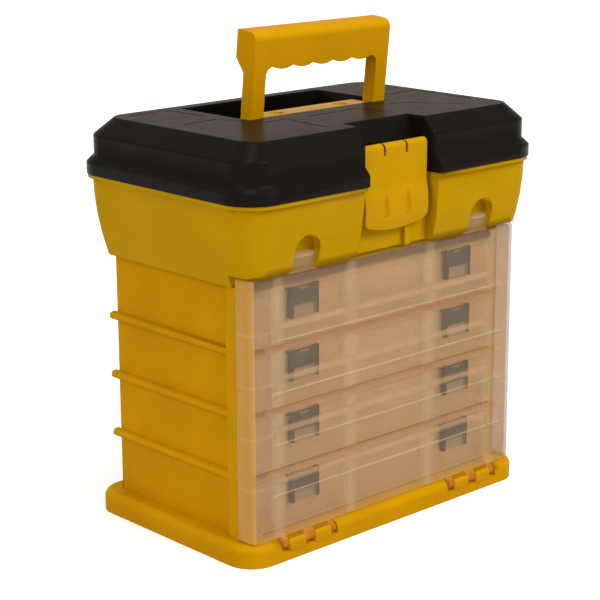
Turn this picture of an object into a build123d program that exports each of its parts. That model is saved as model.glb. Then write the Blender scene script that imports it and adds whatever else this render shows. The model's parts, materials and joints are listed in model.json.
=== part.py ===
from build123d import *
import math
import os
from typing import NamedTuple

os.makedirs("parts", exist_ok=True)

# All lengths are in millimetres and all angles in degrees.
# X runs to the right along the front, Y runs to the back, Z runs up.
# The origin is the middle of the face that the base stands on.

# Fits shared by all pieces
running_gap = 0.3
seat_gap = 0.2
pin_press = 0.05
pin_play = 0.2

# Base plinth
base_width = 270.0
base_depth = 168.0
base_height = 15.2
base_corner = 19.3
base_shoulder = 6.0
base_wall = 2.8
base_rib = 2.0
base_rib_offset = 67.0
skid_height = 1.3
skid_width = 8.0

# Rack of two side panels and a back panel
side_ledge = 8.0
rear_ledge = 15.5
front_ledge = 4.0
panel_wall = 2.5
panel_corner = 3.0
outer_rib_reach = 4.6
outer_rib_height = 5.5
outer_rib_tail = 1.2
post_depth = 10.0
post_wall = 2.0
return_width = 14.4
lip_width = 4.3
lip_thick = 2.2
back_rib_reach = 1.2
rail_drop = 1.6
runner_reach = 7.0
runner_thick = 2.5
tab_length = 12.0
tab_depth = 6.0
tab_offset = 38.0

# Organiser boxes
box_count = 4
box_pitch = 42.7
box_head_room = 1.5
box_side_gap = 1.7
box_back_gap = 2.0
box_wall = 1.8
box_corner = 6.0
box_lid_height = 4.3
divider_thick = 1.6
divider_gap = 0.25
divider_drop = 2.0
divider_guide = 1.2
divider_guide_reach = 1.8

# Latches of the organiser boxes
clasp_side_gap = 43.8
clasp_width = 25.0
clasp_thick = 1.6
clasp_stand = 4.3
clasp_drop = 20.6
clasp_plate_drop = 12.0
clasp_top_drop = 1.5
clasp_cheek = 2.5
clasp_slot_width = 10.0
clasp_slot_height = 2.6
clasp_axis_drop = 2.5
clasp_axis_stand = 1.6
clasp_stub_radius = 1.1
clasp_stub_play = 0.25
clasp_lug = 1.8
clasp_slot_drop = 0.6
clasp_hook_thick = 1.2
clasp_hook_rise = 0.6
catch_ledge_half = 8.0
catch_ledge_thick = 2.0
catch_ledge_drop = 1.0

# Front door
door_wall = 2.0
door_depth = 16.3
door_corner = 6.0
door_foot_gap = 1.2
door_rise = 6.4
door_room = 4.0
door_pad = 1.2
door_pad_width = 8.0
door_pads = (38.2, 104.0)
ridge_count = 4
ridge_first = 30.0
ridge_pitch = 35.0
ridge_reach = 1.6
ridge_lip = 1.0
ridge_taper = 7.5
ridge_margin = 15.0
tongue_offset = 83.5
tongue_width = 22.0
tongue_rise = 13.3
tongue_thick = 1.8
tongue_lip_reach = 4.5
tongue_lip_height = 2.4

# Door hinge
hinge_forward = 1.2
hinge_drop = 3.9
hinge_bar_radius = 1.7
prong_places = (59.5, 80.7, 102.0)
prong_widths = (4.6, 8.3, 4.6)
prong_radius = 2.9
clip_wall = 1.4
pocket_margin = 2.2
pocket_floor_drop = 8.7

# Top bin
bin_height = 56.3
bin_wall = 2.4
bin_flare = 9.0
bin_flare_steps = 4
bin_overhang = 1.0
bin_front_setback = 0.5
bin_rear_overhang = 6.0
bin_corner = 20.0
step_gap = 2.1
step_back_gap = 2.2
shelf_thick = 2.4
shelf_side = 2.4
shelf_front = 3.1
shelf_back = 5.0
shelf_corner = 24.0
rim_height = 5.0
rim_wall = 2.4
locator_height = 2.5
locator_thick = 2.2
recess_half = 35.0
recess_depth = 4.0
recess_spread = 2.0
recess_rib_width = 5.4
recess_rib_place = 15.0
recess_rib_height = 20.2
recess_rib_reach = 3.2
catch_half = 26.0
catch_reach = 2.2
arch_depth = 2.8
arch_rise = 23.5

# Lid
lid_seam = 0.3
lid_wall = 2.4
lid_overhang = 0.8
lid_flange_height = 7.7
lid_slope_height = 5.1
lid_slope_inset = 5.2
lid_side_height = 13.3
lid_bevel_height = 11.5
lid_bevel_side = 12.5
lid_bevel_front = 9.5
lid_bevel_back = 11.1
lid_corner_top = 14.0
notch_half = 32.0
notch_taper = 0.1
notch_lean = 13.5
notch_edge = 2.0

# Lid hinge
lid_hinge_offset = 75.0
lid_hinge_behind = 5.0
lid_hinge_rise = 1.4
lid_knuckle_half = 8.0
lid_knuckle_gap = 0.4
lid_ear_width = 5.0
lid_knuckle_radius = 3.6
lid_ear_depth = 5.0
lid_pin_radius = 1.5

# Latch that holds the lid
latch_half = 30.0
latch_thick = 2.5
latch_front_gap = 2.2
latch_axis_below_top = 17.1
latch_knuckle_radius = 3.6
latch_pin_radius = 1.4
latch_length = 58.5
latch_return = 5.0
latch_belly_drop = 8.0
latch_belly_lead = 0.8
latch_belly_return = 0.4
latch_corner = 6.0
latch_bow = 4.5
latch_lug_place = 10.5
latch_lug_thick = 1.4
latch_lug_radius = 3.0
latch_groove_place = 10.7
latch_groove_radius = 3.4
latch_groove_depth = 1.2
latch_groove_length = 20.0
latch_groove_low = 9.5
latch_slot_drop = 4.4
latch_hook_height = 2.6

# Carrying handle
handle_pivot_y = -2.7
handle_pivot_drop = 5.3
handle_tilt = 6.2
handle_half = 63.3
handle_leg_width = 11.2
handle_leg_half_depth = 5.2
handle_height = 64.2
handle_grip_depth = 18.5
handle_grip_height = 19.5
handle_neck = 9.0
handle_brow = 6.0
handle_edge = 1.5
handle_lobes = 5
handle_inner_corner = 6.1
handle_lobe_rise = 2.1
handle_opening = 40.2
handle_stub_radius = 2.4
handle_stub_reach = 7.2
well_side_gap = 2.0
well_back_gap = 1.3
well_front_gap = 0.9
well_depth = 23.5
well_corner = 2.0

# Strip that holds the handle down
strip_front = 3.5
strip_back = 14.7
strip_thick = 2.4
strip_bevel = 0.4
strip_below_top = 0.2
strip_boss_offset = 30.0
strip_boss_radius = 4.5
strip_dimple_radius = 5.5
strip_dimple_depth = 1.2
strip_stud_radius = 1.8
strip_stud_length = 6.0
saddle_width = 6.0


class Plan(NamedTuple):
    """Rounded rectangle seen from above, centred on X."""

    half_x: float
    front: float
    back: float
    corner: float

    def inset(self, side, front=None, back=None, corner=None):
        """The same plan moved inwards; a negative value grows it."""
        front = side if front is None else front
        back = side if back is None else back
        corner = self.corner - side if corner is None else corner
        return Plan(self.half_x - side, self.front + front, self.back - back, corner)

    def face(self, z):
        """The plan as a flat face at height z."""
        outline = RectangleRounded(2 * self.half_x, self.back - self.front, self.corner)
        return Pos(0, (self.front + self.back) / 2, z) * outline

    def prism(self, low, high):
        """The plan as an upright solid between two heights."""
        return extrude(self.face(low), amount=high - low)


upright_align = (Align.CENTER, Align.CENTER, Align.MIN)


def block(x_span, y_span, z_span):
    """Box between two limits on each axis."""
    spans = (x_span, y_span, z_span)
    middle = [(low + high) / 2 for low, high in spans]
    size = [high - low for low, high in spans]
    return Pos(*middle) * Box(*size)


def rod(x_span, y, z, radius):
    """Round bar along X."""
    low, high = x_span
    return Pos((low + high) / 2, y, z) * Rot(0, 90, 0) * Cylinder(radius, high - low)


def along_x(outline, x_span):
    """Outline drawn with Y to the right and Z up, extruded along X."""
    low, high = x_span
    return extrude(Plane.YZ.offset(low) * outline, amount=high - low)


def along_y(outline, y_span):
    """Outline drawn with X to the right and Z up, extruded along Y."""
    low, high = y_span
    return extrude(Plane.XZ.offset(-high) * outline, amount=high - low)


def shape(*points):
    """Closed outline with straight sides."""
    return make_face(Polyline(*points, close=True))


def both_sides(piece):
    """A piece and its mirror image across the middle plane."""
    return piece + mirror(piece, about=Plane.YZ)


# Levels and planes worked out from the sizes above
base_plan = Plan(base_width / 2, -base_depth / 2, base_depth / 2, base_corner)
skid_top = base_height + skid_height
rack_top = skid_top + box_pitch * box_count
rack_half = base_width / 2 - side_ledge
rack_back = base_depth / 2 - rear_ledge
panel_outer = rack_half - outer_rib_reach
panel_inner = panel_outer - panel_wall

door_front = -base_depth / 2 + front_ledge
door_bottom = base_height + door_foot_gap
door_top = rack_top + door_rise
door_back = door_front + door_depth
door_plan = Plan(rack_half, door_front, door_back + door_corner, door_corner)
post_front = door_back + running_gap
post_back = post_front + post_depth

clasp_front = door_front + door_wall + door_pad + door_room
box_front = clasp_front + clasp_stand
box_back = rack_back - panel_wall - running_gap - lip_thick - box_back_gap
box_half = panel_inner - box_side_gap
box_plan = Plan(box_half, box_front, box_back, box_corner)
clasp_offset = box_half - clasp_side_gap
divider_pitch = 2 * box_half / 3
box_height = box_pitch - runner_thick - box_head_room - seat_gap
tray_height = box_height - box_lid_height - seat_gap

hinge_y = door_front - hinge_forward
hinge_z = base_height - hinge_drop
pocket_back = door_front + door_wall + running_gap + seat_gap
pocket_floor = base_height - pocket_floor_drop
pocket_inner = prong_places[0] - prong_widths[0] / 2 - pocket_margin
pocket_outer = prong_places[-1] + prong_widths[-1] / 2 + pocket_margin

bin_top = rack_top + bin_height
bin_top_plan = Plan(
    rack_half + bin_overhang + bin_flare,
    door_front + bin_front_setback - bin_flare,
    rack_back + bin_rear_overhang + bin_flare,
    bin_corner,
)
flare_radius = (bin_height**2 + bin_flare**2) / (2 * bin_flare)
shelf_plan = bin_top_plan.inset(-shelf_side, -shelf_front, -shelf_back, shelf_corner)
rim_plan = bin_top_plan.inset(bin_wall)
step_bottom = door_top + step_gap
step_back = door_back + step_back_gap
recess_wall = door_front + recess_depth
arch_wall = door_front + arch_depth

lid_bottom = bin_top + lid_seam
lid_flange_top = lid_bottom + lid_flange_height
lid_slope_top = lid_flange_top + lid_slope_height
lid_side_top = lid_slope_top + lid_side_height
lid_top = lid_side_top + lid_bevel_height
lid_flange_plan = shelf_plan.inset(-lid_overhang)
lid_side_plan = lid_flange_plan.inset(lid_slope_inset)
lid_top_plan = lid_side_plan.inset(
    lid_bevel_side, lid_bevel_front, lid_bevel_back, lid_corner_top
)
lid_hinge_y = shelf_plan.back + lid_hinge_behind
lid_hinge_z = bin_top + lid_hinge_rise

latch_front = door_front - latch_front_gap
latch_axis_y = latch_front + latch_knuckle_radius
latch_axis_z = lid_top - latch_axis_below_top
latch_bottom = latch_axis_z + latch_knuckle_radius - latch_length
catch_front = recess_wall - catch_reach

handle_pivot_z = lid_top - handle_pivot_drop
leg_inner = handle_half - handle_leg_width
strip_top = lid_top - strip_below_top
strip_bottom = strip_top - strip_thick
strip_half = leg_inner - running_gap - seat_gap
strip_front_y = handle_pivot_y - strip_front
strip_back_y = handle_pivot_y + strip_back
well_half = handle_half + well_side_gap
well_front = handle_pivot_y - handle_leg_half_depth - well_front_gap
well_back = handle_pivot_y + handle_height + well_back_gap
well_floor = lid_top - well_depth


def clip_spans():
    """X limits of the two door clips that sit between the prongs of one side."""
    spans = []
    for left, right in ((0, 1), (1, 2)):
        low = prong_places[left] + prong_widths[left] / 2 + running_gap
        high = prong_places[right] - prong_widths[right] / 2 - running_gap
        spans.append((low, high))
    return spans


def tab_places():
    """Middle Y of the two tabs under each side panel."""
    return (-tab_offset, tab_offset)


def make_base_plinth():
    """Wide foot: open ribbed underside, box skids and snap clips for the door."""
    inner_top = base_height - base_wall
    body = base_plan.prism(0, base_height)
    body = fillet(body.faces().sort_by(Axis.Z)[-1].edges(), base_shoulder)
    hollow = base_plan.inset(base_wall).prism(0, inner_top)
    inner_shoulder = max(base_shoulder - base_wall, base_wall / 2)
    hollow = chamfer(hollow.faces().sort_by(Axis.Z)[-1].edges(), inner_shoulder)

    full_x = (-base_width, base_width)
    full_y = (-base_depth, base_depth)
    full_z = (0, base_height)
    ribs = block(full_x, (-base_rib / 2, base_rib / 2), full_z)
    for place in (-base_rib_offset, 0, base_rib_offset):
        ribs += block((place - base_rib / 2, place + base_rib / 2), full_y, full_z)
    housing = both_sides(
        block(
            (pocket_inner - base_wall, pocket_outer + base_wall),
            (-base_depth, pocket_back + base_wall),
            (pocket_floor - base_wall, base_height),
        )
    )
    body = body - hollow + (hollow & (ribs + housing))

    pocket = both_sides(
        block(
            (pocket_inner, pocket_outer),
            (-base_depth, pocket_back),
            (pocket_floor, 2 * base_height),
        )
    )
    body -= pocket
    for span in clip_spans():
        body += both_sides(make_door_clip(span))

    skid_out = box_half - seat_gap
    skid = block(
        (skid_out - skid_width, skid_out), (box_front, box_back), (base_height, skid_top)
    )
    body += both_sides(skid)
    for place in tab_places():
        body -= both_sides(make_panel_tab(place, seat_gap))
    return body


def make_door_clip(span):
    """Upright ring with a snap slot that opens upwards, on a stem."""
    bore = hinge_bar_radius + running_gap
    ring = bore + clip_wall
    clip = rod(span, hinge_y, hinge_z, ring)
    clip += block(span, (hinge_y - ring, hinge_y + ring), (pocket_floor, hinge_z))
    clip -= rod(span, hinge_y, hinge_z, bore)
    mouth = hinge_bar_radius - running_gap
    return clip - block(
        span, (hinge_y - mouth, hinge_y + mouth), (hinge_z, hinge_z + 2 * ring)
    )


def make_panel_tab(place, clearance):
    """Tab under a side panel, or with a clearance the slot that takes it."""
    half_thick = panel_wall / 2 - seat_gap + clearance
    middle = panel_inner + panel_wall / 2
    half_length = tab_length / 2 + clearance
    return block(
        (middle - half_thick, middle + half_thick),
        (place - half_length, place + half_length),
        (base_height - tab_depth, base_height),
    )


def make_side_panel():
    """Right side panel: wall, hollow front post, outer ribs and box runners."""
    height = (base_height, rack_top)
    panel = block((panel_inner, panel_outer), (post_back - post_wall, rack_back), height)
    panel += block(
        (panel_outer - return_width, panel_outer),
        (rack_back - panel_wall, rack_back),
        height,
    )
    corner = panel.edges().filter_by(Axis.Z).sort_by_distance((panel_outer, rack_back, 0))
    panel = fillet(corner[0], panel_corner)

    post = block((panel_inner, rack_half), (post_front, post_back), height)
    post -= block(
        (0, rack_half - post_wall),
        (post_front + post_wall, post_back - post_wall),
        (base_height + post_wall, rack_top - post_wall),
    )
    post_edges = post.edges().filter_by(Axis.Z).group_by(Axis.X)[-1]
    panel += fillet(post_edges, post_wall / 2)

    for level in range(1, box_count):
        top = skid_top + box_pitch * level
        panel += block(
            (panel_inner - runner_reach, panel_inner),
            (post_front, rack_back - panel_wall),
            (top - runner_thick, top),
        )
        panel += make_outer_rib(top - rail_drop)
    for place in tab_places():
        panel += make_panel_tab(place, 0)
    return panel


def make_outer_rib(level):
    """Rounded rail on the outside of a side panel."""
    half = outer_rib_height / 2
    tip = Pos(rack_half - half, level) * Circle(half)
    root = Pos((panel_outer + rack_half - half) / 2, level) * Rectangle(
        rack_half - half - panel_outer, outer_rib_height
    )
    return along_y(root + tip, (post_back - post_wall / 2, rack_back + outer_rib_tail))


def make_back_panel():
    """Rear wall whose lips lie behind the inward returns of the side panels."""
    edge = panel_outer - return_width - running_gap
    inner = rack_back - panel_wall
    height = (base_height, rack_top)
    panel = block((-edge, edge), (inner, rack_back), height)
    lip_back = inner - running_gap
    panel += both_sides(
        block(
            (edge - lip_width, edge + lip_width),
            (lip_back - lip_thick, lip_back),
            height,
        )
    )
    panel += both_sides(block((edge - lip_width, edge), (lip_back, inner), height))
    for level in range(1, box_count):
        top = skid_top + box_pitch * level - rail_drop
        panel += block(
            (-edge, edge),
            (rack_back, rack_back + back_rib_reach),
            (top - outer_rib_height / 2, top + outer_rib_height / 2),
        )
    return panel


def flare_side(reach, low, high, inwards):
    """Curved side of the bin as short chords, where reach is its distance out at the top."""
    points = []
    for index in range(bin_flare_steps + 1):
        z = low + (high - low) * index / bin_flare_steps
        sag = flare_radius - math.sqrt((flare_radius - inwards) ** 2 - (bin_top - z) ** 2)
        points.append((reach - sag, z))
    return Polyline(*points)


def flare_section(reaches, low, high, inwards):
    """Upright section of the bin between two flared sides."""
    near = mirror(flare_side(-reaches[0], low, high, inwards), about=Plane.YZ)
    far = flare_side(reaches[1], low, high, inwards)
    return make_face([near, Line(near @ 1, far @ 1), far, Line(far @ 0, near @ 0)])


def flare_corner(low, high, inwards):
    """Quarter turn of the bin's side, for the corner at the right and the back."""
    side = flare_side(bin_corner, low, high, inwards)
    top = Line(side @ 1, (0, high))
    bottom = Line((0, low), side @ 0)
    section = make_face([side, top, Line((0, high), (0, low)), bottom])
    return revolve(Plane.XZ * section, Axis.Z, 90)


def flared_body(low, high, inwards):
    """Body of the bin between two heights, moved inwards: rolled walls, turned corners."""
    plan = bin_top_plan
    straight_x = plan.half_x - plan.corner
    straight_y = (plan.front + plan.corner, plan.back - plan.corner)
    body = along_x(
        flare_section((plan.front, plan.back), low, high, inwards), (-straight_x, straight_x)
    )
    body += along_y(
        flare_section((-plan.half_x, plan.half_x), low, high, inwards), straight_y
    )
    corner = flare_corner(low, high, inwards)
    body += both_sides(Pos(straight_x, straight_y[1], 0) * corner)
    return body + both_sides(Pos(straight_x, straight_y[0], 0) * Rot(0, 0, -90) * corner)


def make_top_bin():
    """Flared tub with rim, latch recess, door catch recesses and hinge ears."""
    shelf_bottom = bin_top - shelf_thick
    tub = flared_body(rack_top, bin_top, 0)
    tub += shelf_plan.prism(shelf_bottom, bin_top)
    tub -= block((-base_width, base_width), (-base_depth, step_back), (0, step_bottom))

    cavity = flared_body(rack_top + bin_wall, shelf_bottom, bin_wall)
    cavity -= block(
        (-base_width, base_width),
        (-base_depth, step_back + bin_wall),
        (0, step_bottom + bin_wall),
    )
    guard_half = recess_half + bin_wall
    cavity -= block(
        (-guard_half, guard_half), (-base_depth, recess_wall + bin_wall), (0, bin_top)
    )
    cavity -= both_sides(make_arch(bin_wall))
    tub -= cavity

    mouth = rim_plan.inset(rim_wall).prism(shelf_bottom - 0.01, bin_top + 0.01)
    mouth -= block(
        (-guard_half, guard_half), (-base_depth, recess_wall + bin_wall), (0, 2 * bin_top)
    )
    tub -= mouth

    rim = rim_plan.prism(bin_top, bin_top + rim_height)
    rim -= rim_plan.inset(rim_wall).prism(bin_top, bin_top + rim_height)
    rim -= block(
        (-guard_half - running_gap, guard_half + running_gap),
        (-base_depth, 0),
        (bin_top, 2 * bin_top),
    )
    tub += rim

    recess = shape(
        (-recess_half - recess_spread, rack_top),
        (recess_half + recess_spread, rack_top),
        (recess_half, bin_top + rim_height),
        (-recess_half, bin_top + rim_height),
    )
    tub -= along_y(recess, (-base_depth, recess_wall))
    tub -= both_sides(make_arch(0))
    tub += block(
        (-catch_half, catch_half), (catch_front, recess_wall), (shelf_bottom, bin_top)
    )
    tub += block(
        (recess_rib_place - recess_rib_width / 2, recess_rib_place + recess_rib_width / 2),
        (recess_wall - recess_rib_reach, recess_wall),
        (step_bottom, step_bottom + recess_rib_height),
    )

    locator_out = panel_inner - running_gap
    tub += both_sides(
        block(
            (locator_out - locator_thick, locator_out),
            (post_back, rack_back - panel_wall - running_gap),
            (rack_top - locator_height + box_head_room / 2, rack_top + bin_wall / 2),
        )
    )
    for side in (-1, 1):
        for ear in (-1, 1):
            inner = side * lid_hinge_offset + ear * (lid_knuckle_half + lid_knuckle_gap)
            outer = inner + ear * lid_ear_width
            tub += make_bin_ear((min(inner, outer), max(inner, outer)))
    for side in (-1, 1):
        tub -= rod(ear_span(side), lid_hinge_y, lid_hinge_z, lid_pin_radius + pin_press)
    return tub


def make_arch(grown):
    """Round-topped recess for a door tongue, or the same space grown by a wall."""
    half = tongue_width / 2 + running_gap + grown
    crown = step_bottom + arch_rise + grown
    low = step_bottom - 1 if grown == 0 else 0
    outline = Pos(0, (low + crown - half) / 2) * Rectangle(2 * half, crown - half - low)
    outline += Pos(0, crown - half) * Circle(half)
    return Pos(tongue_offset, 0, 0) * along_y(outline, (-base_depth, arch_wall + grown))


def ear_span(side):
    """X limits of the whole lid hinge on one side."""
    reach = lid_knuckle_half + lid_knuckle_gap + lid_ear_width
    return (side * lid_hinge_offset - reach, side * lid_hinge_offset + reach)


def make_bin_ear(span):
    """Ear on the back of the bin that carries one end of a lid hinge pin."""
    low = bin_top - shelf_thick - lid_ear_depth
    back = bin_top_plan.back - bin_wall / 2
    slant = lid_knuckle_radius * math.sqrt(0.5)
    web = shape(
        (back, low),
        (back, bin_top),
        (lid_hinge_y - slant, bin_top),
        (lid_hinge_y, lid_hinge_z),
        (lid_hinge_y + slant, lid_hinge_z - slant),
    )
    return along_x(web, span) + rod(span, lid_hinge_y, lid_hinge_z, lid_knuckle_radius)


def make_lid_hinge_pin(side):
    """Plain pin through two ears and the lid's knuckle."""
    return rod(ear_span(side), lid_hinge_y, lid_hinge_z, lid_pin_radius)


def lid_shell(flange, side, top, drop):
    """Stepped and bevelled body of the lid, from three plans."""
    bottom = lid_bottom
    flange_top = lid_flange_top - drop / 2
    slope_top = lid_slope_top - drop / 2
    side_top = lid_side_top - drop / 2
    crown = lid_top - drop
    body = flange.prism(bottom, flange_top)
    body += loft([flange.face(flange_top), side.face(slope_top)], ruled=True)
    body += side.prism(slope_top, side_top)
    body += loft([side.face(side_top), top.face(crown)], ruled=True)
    return body


def notch_space(grown):
    """Space for the latch in the front of the lid, or the same grown by a wall."""
    low = lid_bottom - 1
    high = lid_top + 1
    lean = notch_lean / (lid_top - lid_bottom)
    back_low = recess_wall + lean * (low - lid_bottom) + grown
    back_high = recess_wall + lean * (high - lid_bottom) + grown
    front = lid_flange_plan.front - 1
    side_view = shape((front, low), (back_low, low), (back_high, high), (front, high))
    wide = notch_half + grown - notch_taper * (front - latch_axis_y)
    narrow = notch_half + grown - notch_taper * (back_high - latch_axis_y)
    top_view = shape((-wide, front), (wide, front), (narrow, back_high), (-narrow, back_high))
    upright = extrude(Pos(0, 0, low) * top_view, amount=high - low)
    return along_x(side_view, (-wide, wide)) & upright


def notch_front_edges(shell):
    """Edges where the notch's side walls meet the front of the lid, without its underside."""
    edges = []
    for face in shell.faces():
        if abs(face.center().X) < 1.1 * notch_half and abs(face.normal_at().X) > 0.9:
            edges += [edge for edge in face.edges() if abs(edge.tangent_at(0.5).Z) > 0.1]
    return [edge for edge in edges if edge.center().Y < latch_axis_y]


def well_space(grown):
    """Space that the folded handle lies in, or the same grown by a wall."""
    corner = well_corner + grown
    plan = Plan(well_half + grown, well_front - grown, well_back + grown, corner)
    space = plan.prism(well_floor - grown, lid_top + 1)
    ledge_half = leg_inner - seat_gap - grown
    ledge = block(
        (-ledge_half, ledge_half),
        (well_front - 2 * well_corner, strip_front_y - running_gap - grown),
        (0, 2 * lid_top),
    )
    return space - ledge


def make_lid():
    """Lid moulding: shell, latch notch with lugs, handle well and hinge knuckles."""
    outer = lid_shell(lid_flange_plan, lid_side_plan, lid_top_plan, 0) - notch_space(0)
    outer = fillet(notch_front_edges(outer), notch_edge)
    inner = lid_shell(
        lid_flange_plan.inset(lid_wall),
        lid_side_plan.inset(lid_wall),
        lid_top_plan.inset(lid_wall),
        lid_wall,
    )
    lid = outer - (inner - notch_space(lid_wall) - well_space(lid_wall)) - well_space(0)

    back_wall = recess_wall + notch_lean
    for side in (-1, 1):
        place = side * latch_lug_place
        span = (place - latch_lug_thick / 2, place + latch_lug_thick / 2)
        lid += make_latch_lug(span, back_wall)
        lid += make_lid_knuckle(side)
    lid -= rod(
        (-latch_half, latch_half), latch_axis_y, latch_axis_z, latch_pin_radius + pin_press
    )

    for side in (-1, 1):
        boss = Pos(side * strip_boss_offset, strip_middle_y(), well_floor - 1) * Cylinder(
            strip_boss_radius, strip_bottom - well_floor + 1, align=upright_align
        )
        stud_hole = Pos(side * strip_boss_offset, strip_middle_y(), strip_bottom) * Cylinder(
            strip_stud_radius + seat_gap, 2 * strip_stud_length
        )
        lid += boss - stud_hole
    lid += both_sides(make_saddle())
    return lid


def strip_middle_y():
    """Y of the bosses and studs of the retainer strip."""
    return (strip_front_y + strip_back_y) / 2


def make_saddle():
    """Block on the well floor with a round seat for one handle stub."""
    seat = handle_stub_radius + running_gap
    outer = leg_inner - running_gap
    inner = outer - saddle_width
    saddle = block(
        (inner, outer),
        (handle_pivot_y - seat - lid_wall / 2, handle_pivot_y + seat + lid_wall),
        (well_floor - 1, strip_bottom),
    )
    saddle -= rod((inner, outer), handle_pivot_y, handle_pivot_z, seat)
    return saddle - block(
        (inner, outer),
        (handle_pivot_y - seat, handle_pivot_y + seat),
        (handle_pivot_z, lid_top),
    )


def make_latch_lug(span, back_wall):
    """Thin lug from the notch's back wall to the latch pin."""
    web = shape(
        (latch_axis_y, latch_axis_z - latch_lug_radius),
        (back_wall, latch_axis_z - 2 * latch_lug_radius),
        (back_wall, latch_axis_z + latch_lug_radius),
        (latch_axis_y, latch_axis_z + latch_lug_radius),
    )
    lug = along_x(web, span)
    lug += rod(span, latch_axis_y, latch_axis_z, latch_lug_radius)
    inner = notch_space(lid_wall)
    return lug & (notch_space(0) + inner)


def make_lid_knuckle(side):
    """Knuckle of the lid hinge, with its bore."""
    middle = side * lid_hinge_offset
    span = (middle - lid_knuckle_half, middle + lid_knuckle_half)
    top = lid_hinge_z + lid_knuckle_radius
    web = block(
        span,
        (lid_flange_plan.back - lid_wall, lid_hinge_y),
        (lid_bottom, top),
    )
    knuckle = web + rod(span, lid_hinge_y, lid_hinge_z, lid_knuckle_radius)
    return knuckle - rod(span, lid_hinge_y, lid_hinge_z, lid_pin_radius + pin_play)


def make_handle_retainer():
    """Strip over the handle's pivots, with two dimples and two snap studs."""
    strip = block(
        (-strip_half, strip_half), (strip_front_y, strip_back_y), (strip_bottom, strip_top)
    )
    strip = chamfer(strip.faces().sort_by(Axis.Z)[-1].edges(), strip_bevel)
    for side in (-1, 1):
        place = Pos(side * strip_boss_offset, strip_middle_y(), 0)
        strip -= place * Pos(0, 0, strip_top) * Cylinder(
            strip_dimple_radius, 2 * strip_dimple_depth
        )
        strip += place * Pos(0, 0, strip_bottom - strip_stud_length) * Cylinder(
            strip_stud_radius, strip_stud_length, align=upright_align
        )
    return strip


def make_handle_opening():
    """Front view of the space under the grip, with finger lobes along its top."""
    corner = handle_inner_corner
    half_lobes = leg_inner - corner
    lobe_pitch = 2 * half_lobes / handle_lobes
    deep = -2 * handle_leg_half_depth
    shoulder = handle_opening - corner
    lines = [
        Line((-leg_inner, deep), (-leg_inner, shoulder)),
        RadiusArc((-leg_inner, shoulder), (-half_lobes, handle_opening), corner),
    ]
    for lobe in range(handle_lobes):
        start = -half_lobes + lobe * lobe_pitch
        end = start + lobe_pitch
        low = ((start + end) / 2, handle_opening - handle_lobe_rise)
        lines.append(ThreePointArc((start, handle_opening), low, (end, handle_opening)))
    lines += [
        RadiusArc((half_lobes, handle_opening), (leg_inner, shoulder), corner),
        Line((leg_inner, shoulder), (leg_inner, deep)),
        Line((leg_inner, deep), (-leg_inner, deep)),
    ]
    return make_face(lines)


def make_carry_handle():
    """Bail handle: two flat legs, a deeper grip and two inward pivot stubs."""
    front = -handle_leg_half_depth
    back = front + handle_grip_depth
    grip_low = handle_height - handle_grip_height
    outline = shape(
        (front, 0),
        (front, handle_height),
        (back, handle_height),
        (back, grip_low),
        (handle_leg_half_depth, grip_low - handle_neck),
        (handle_leg_half_depth, 0),
    )
    rear = outline.vertices().group_by(Axis.X)[-1]
    outline = fillet(rear, handle_edge)
    brow = outline.vertices().group_by(Axis.X)[0].sort_by(Axis.Y)[-1]
    outline = fillet(brow, handle_brow)
    outline += Circle(handle_leg_half_depth)

    handle = along_x(outline, (-handle_half, handle_half))
    handle -= along_y(make_handle_opening(), (-handle_height, handle_height))
    stub_low = leg_inner - handle_stub_reach
    handle += both_sides(rod((stub_low, leg_inner + 1), 0, 0, handle_stub_radius))
    return Pos(0, handle_pivot_y, handle_pivot_z) * Rot(handle_tilt, 0, 0) * handle


def latch_strip(depth):
    """Side view of the latch plate: straight above, with a shallow belly below."""
    knee = (latch_front, bin_top)
    swell = (latch_front - latch_belly_lead, bin_top - latch_belly_drop)
    low = (latch_front + latch_belly_return, latch_bottom - 1)
    upper = Line((latch_front, latch_axis_z), knee)
    lead = TangentArc(knee, swell, tangent=(0, -1))
    belly = TangentArc(lead @ 1, low, tangent=lead % 1)
    front = upper + lead + belly
    sides = front + Pos(depth, 0) * front
    sides += Line((latch_front, latch_axis_z), (latch_front + depth, latch_axis_z))
    sides += Line(low, (low[0] + depth, low[1]))
    return make_face(sides.edges())


def make_latch():
    """Broad front latch with side returns, a hook and a split knuckle."""
    span = (-latch_half, latch_half)
    latch = along_x(latch_strip(latch_thick), span)
    edge = along_x(latch_strip(latch_return), (latch_half - latch_thick, latch_half))
    latch += both_sides(edge)
    latch += rod((-latch_half, latch_half), latch_axis_y, latch_axis_z, latch_knuckle_radius)
    bore = latch_pin_radius + pin_play
    latch -= rod((-latch_half, latch_half), latch_axis_y, latch_axis_z, bore)

    corner_z = latch_bottom + latch_bow
    top = latch_axis_z + 2 * latch_knuckle_radius
    outline = make_face(
        [
            Line((latch_half, corner_z), (latch_half, top)),
            Line((latch_half, top), (-latch_half, top)),
            Line((-latch_half, top), (-latch_half, corner_z)),
            ThreePointArc((-latch_half, corner_z), (0, latch_bottom), (latch_half, corner_z)),
        ]
    )
    outline = fillet(outline.vertices().sort_by(Axis.Y)[:2], latch_corner)
    latch &= along_y(outline, (-base_depth, 0))

    hook_top = bin_top - shelf_thick - running_gap
    hook_tip = catch_front - running_gap
    hook = shape(
        (latch_front + latch_thick / 2, hook_top),
        (hook_tip, hook_top),
        (latch_front + latch_thick / 2, hook_top - latch_hook_height),
    )
    latch += along_x(hook, (-catch_half, catch_half))
    slot_low = latch_axis_z - latch_slot_drop
    for side in (-1, 1):
        place = side * latch_lug_place
        half_slot = latch_lug_thick / 2 + running_gap
        latch -= block(
            (place - half_slot, place + half_slot),
            (latch_front - 1, latch_axis_y + latch_knuckle_radius + 1),
            (slot_low, top),
        )
        latch -= make_grip_groove(side * latch_groove_place)
    return latch


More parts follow.
